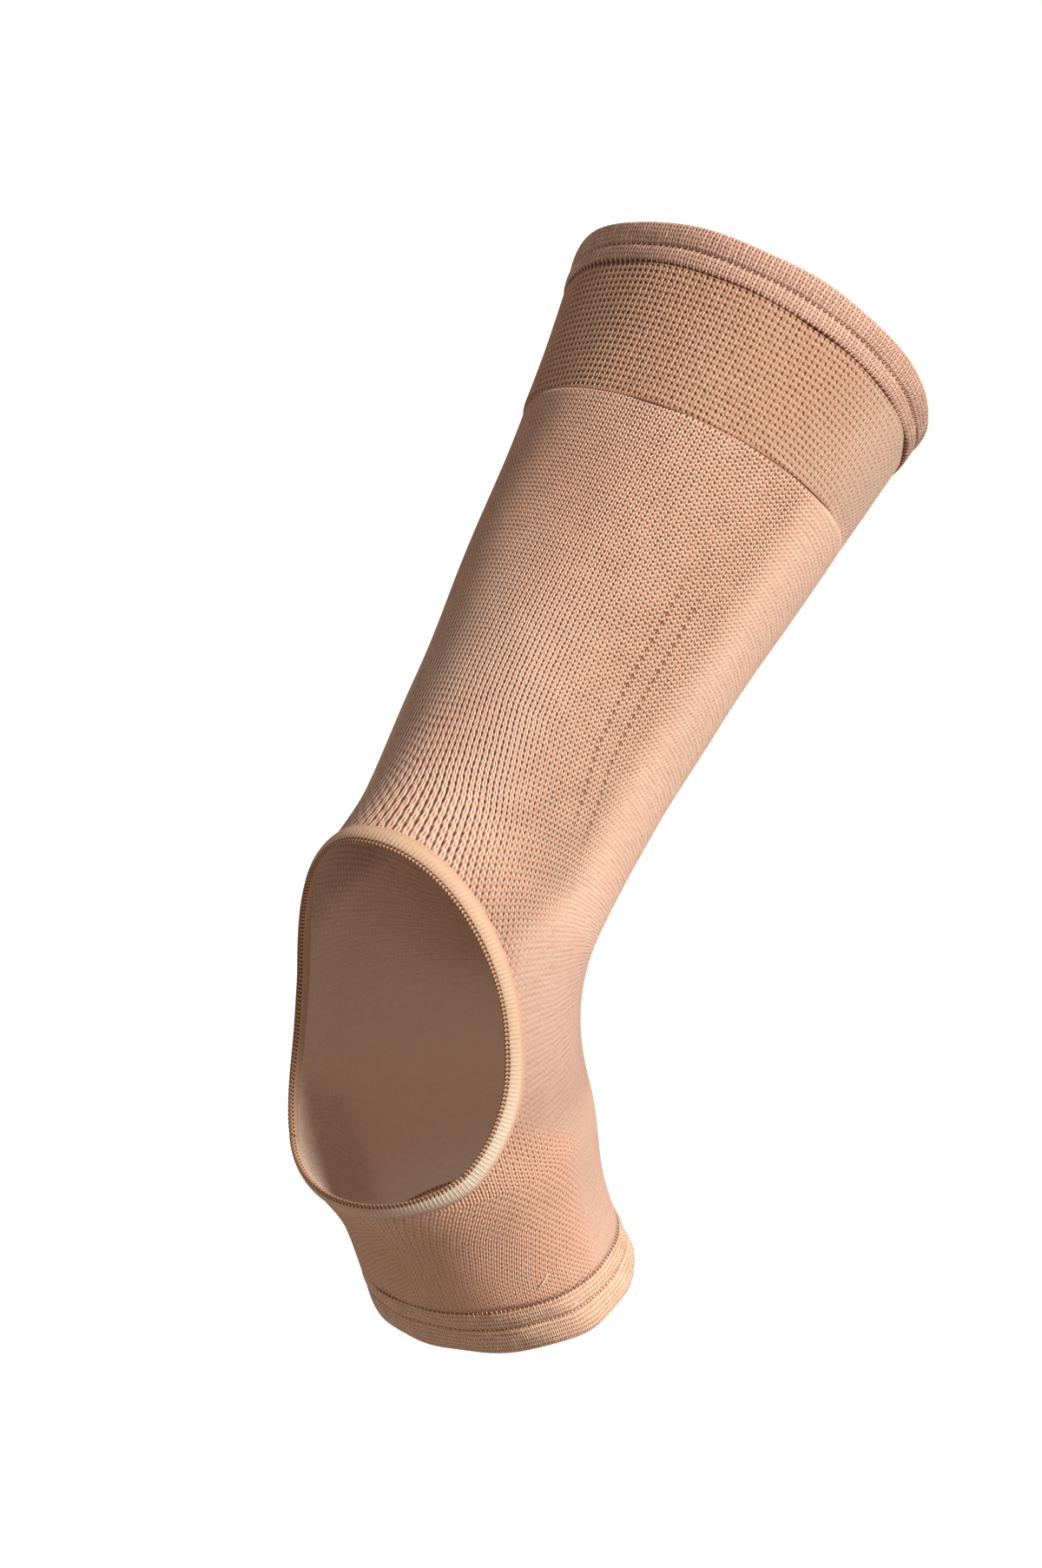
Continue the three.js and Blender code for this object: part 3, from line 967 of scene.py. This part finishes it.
def sleeve_material():
    cloth = Cloth("sleeve_knit")
    wale, course = cloth.knit_map()
    rib = cloth.attribute("rib")
    sole = cloth.attribute("sole")
    calm = cloth.attribute("calm")
    foot = cloth.attribute("foot")
    u = wale + cloth.noise(4 * MM, WIDE_U) * 0.35 + cloth.noise(1.5 * MM, FINE_U) * 0.2
    v = course + cloth.noise(4 * MM, WIDE_V) * 0.45 + cloth.noise(1.5 * MM, FINE_V) * 0.25
    height = loops(u, v, rib * -0.09 + 0.2)

    # Dotted grooves between the columns over the tendon, and finer ones under the heel
    groove = u.hump() * (v.wave() * 0.2 + 0.8)
    fine_groove = (u * 2).hump()
    height = height - groove * rib * 0.24 - fine_groove * sole * 0.2 + rib * 0.15 + sole * 0.1

    # Where the knit is stretched smooth, faint rows and a fine lattice take the loops' place
    courses = cloth.streaks(wale * 0.25, course * 1.2, LOOP_STREAKS) * 0.4
    lattice = (u * 2).wave() * 0.03 + (u + v * 0.5).wave() * 0.03 + v.wave() * 0.05
    height = height.toward(courses + lattice + 0.54, calm * 0.85)

    # The contrast changes from place to place, and is less toward the foot
    contrast = cloth.noise(7 * MM, UNEVENNESS) * 0.9 + 1.45
    height = (height - 0.56) * contrast * foot.rest(0.38) + 0.66

    # Eyelets in every second course, plain along the middle of the leg and faint near the ankle
    # and the cuff band
    windows = [((u.size() - place).size() * -1 + 0.27).step(0.0, 0.15) for place in EYELET_WALES]
    eyelets = (windows[0] + windows[1]) * (course * 0.5).wave().step(-0.1, 0.6)
    shown = course.step(28, 40) * course.step(92, 76) * 0.8 + course.step(4, 10) * 0.2
    height = height - eyelets * shown * 0.72
    height = height + cloth.noise(0.7 * MM, FIBRES) * 0.32
    colour = cloth.ramp(height, SLEEVE_COLOURS)

    # Tints: warm patches, the paler smooth parts, and a pinker foot side and sole that is partly
    # its own colour and partly painted light on its shaded side; painted shade beside the heel
    # opening, on the instep and along the opening's rim; and the wrong side of the cloth
    warm = cloth.noise(30 * MM, WARMTH).step(-0.2, 0.2)
    colour = cloth.mix(warm * 0.2, colour, "f6cfb4", "MULTIPLY")
    colour = cloth.mix(calm * 0.35, colour, "e6cfbe")
    # Partly the foot's own pinker colour, partly painted light on the side and sole facing away
    # from the key
    colour = cloth.mix(foot * calm.rest() * 0.42, colour, "fec09d")
    # Painted shade: the knit beside the heel opening darkened and greyed
    colour = cloth.mix(cloth.attribute("ankle"), colour, "e2dfe1", "MULTIPLY")
    # Painted shade: the smooth knit on the instep darkened a little
    colour = cloth.mix(calm * foot, colour, "e9e9ea", "MULTIPLY")
    # Painted shade along the heel opening's rim
    colour = cloth.mix(cloth.attribute("rim").step(2.6, 1.0) * 0.5, colour, "e3b899")
    colour = cloth.mix(cloth.attribute("inside") * 0.9, colour, "fbe0cb")
    return cloth.finish(colour, height, 0.7 * MM)


def band_material():
    cloth = Cloth("cuff_knit")
    wale, course = cloth.knit_map()
    calm = cloth.attribute("calm")
    u = wale + cloth.noise(5 * MM, WIDE_U) * 0.3 + cloth.noise(1.6 * MM, FINE_U) * 0.22
    v = course + cloth.noise(5 * MM, WIDE_V) * 0.25 + cloth.noise(1.6 * MM, FINE_V) * 0.3

    # Small holes of uneven size, in columns that lean to and fro
    lean = (v - 0.25).wave() * 0.12
    across = (u + lean - 0.5).hump()
    along = (v - 0.5).hump()
    size = cloth.streaks(wale * 0.8, course * 0.8, LOOP_STREAKS) * 0.9 + 1.0
    hole = (across * along) ** 1.5 * size * calm.rest(0.75)
    threads = (u * 2).wave() * -0.16 + (u * 2 + v).wave() * 0.05
    height = hole * -0.75 + threads + 0.74 + cloth.noise(0.7 * MM, FIBRES) * 0.45

    # A darker line of painted shade in the crease where the band joins the main knit
    height = height - cloth.attribute("up").step(0.045, 0.01) * 0.2
    colour = cloth.ramp(height, BAND_COLOURS)

    # Tints: warm patches, the smooth part at the shin and the wrong side of the cloth
    warm = cloth.noise(26 * MM, WARMTH).step(-0.2, 0.2)
    colour = cloth.mix(warm * 0.2, colour, "f6d0ae", "MULTIPLY")
    colour = cloth.mix(calm * 0.4, colour, "efd3bd")
    colour = cloth.mix(cloth.attribute("inside") * 0.5, colour, "e6bd9c")
    return cloth.finish(colour, height, 0.8 * MM)


def hem_material(name, colours):
    cloth = Cloth(name)
    wale, course = cloth.knit_map()
    up = cloth.attribute("up")
    u = wale + cloth.noise(4 * MM, WIDE_U) * 0.3 + cloth.noise(1.4 * MM, FINE_U) * 0.2
    v = course + cloth.noise(4 * MM, WIDE_V) * 0.7
    ribs = (u * 2).wave() * 0.3 + u.wave() * 0.2
    ribs = ribs + (u * 2 + v).wave() * 0.14 + (u * 2 - v).wave() * 0.08 + 0.63
    streaks = cloth.streaks(wale * 2, course * 0.7, HEM_STREAKS) * 0.25
    height = ribs + cloth.noise(0.8 * MM, FIBRES) * 0.5 + streaks

    # The seam shows one dark stitch to each column of loops, and the joined edge is darker:
    # painted shade in the stitched pits and the crease, also pressed into the relief
    groove = (up - HEM_GROOVE).size().step(0.03, 0.005)
    edge = up.step(0.075, 0.0)
    stitches = u.wave() * -0.4 + 0.6
    height = height - groove * stitches * 0.55 - edge * stitches
    return cloth.finish(cloth.ramp(height, colours), height, 0.5 * MM)


def tape_material():
    cloth = Cloth("binding_tape")
    stitch, place = cloth.knit_map()
    thread = (stitch + place * 0.15).hump()
    fine = (stitch * 2 + place * 0.2).hump()
    height = thread * 0.25 + fine * 0.25 + cloth.noise(0.7 * MM, FIBRES) * 0.5 + 0.3
    colour = cloth.ramp(height, TAPE_COLOURS)

    # Painted highlight low down on the outer side, and painted shade where the tape meets the knit
    low = stitch.step(58, 88) * stitch.step(122, 104)
    colour = cloth.mix(low * 0.5, colour, "fff1dc")
    # Painted shade where the tape's edge meets the knit
    outer = place.step(0.6, -0.8)
    colour = cloth.mix(outer * 0.7, colour, "d3a184")

    # Painted shade in the gaps between the stitches beside the edge cord, also pressed into the
    # relief
    gaps = (place - 3.9).size().step(0.4, 0.1) * thread.step(0.35, 0.75)
    colour = cloth.mix(gaps, colour, "6b3b22")
    height = height - gaps * 0.6
    return cloth.finish(colour, height, 0.18 * MM, roughness=0.78, sheen=0.15)


def thread_material():
    cloth = Cloth("loose_thread")
    height = cloth.noise(0.4 * MM, FIBRES) + 0.5
    return cloth.finish(cloth.ramp(height, THREAD_COLOURS), height, 0.05 * MM)


def cord_material():
    cloth = Cloth("binding_cord")
    stitch, place = cloth.knit_map()
    height = (stitch + place).hump() + cloth.noise(0.5 * MM, FIBRES) * 0.3
    colour = cloth.ramp(height, CORD_COLOURS)
    return cloth.finish(colour, height, 0.15 * MM, roughness=0.8)


make_camera()
make_lights()
make_floor()
top_look = hem_material("top_hem_knit", TOP_HEM_COLOURS)
foot_look = hem_material("foot_hem_knit", FOOT_HEM_COLOURS)
make_hem("top_hem", 1, top_hem_lower_edge, TOP_HEM_HEIGHT, TOP_HEM_FULLNESS, top_look)
make_hem("foot_hem", -1, foot_hem_upper_edge, FOOT_HEM_HEIGHT, FOOT_HEM_FULLNESS, foot_look)
make_cuff_band(band_material())
make_knit_sleeve(sleeve_material())
make_binding_tape(tape_material())
make_edge_cord(cord_material())
thread_look = thread_material()
for number, ends in enumerate(SNAGS):
    make_snag(f"snagged_thread_{number + 1}", ends, thread_look)
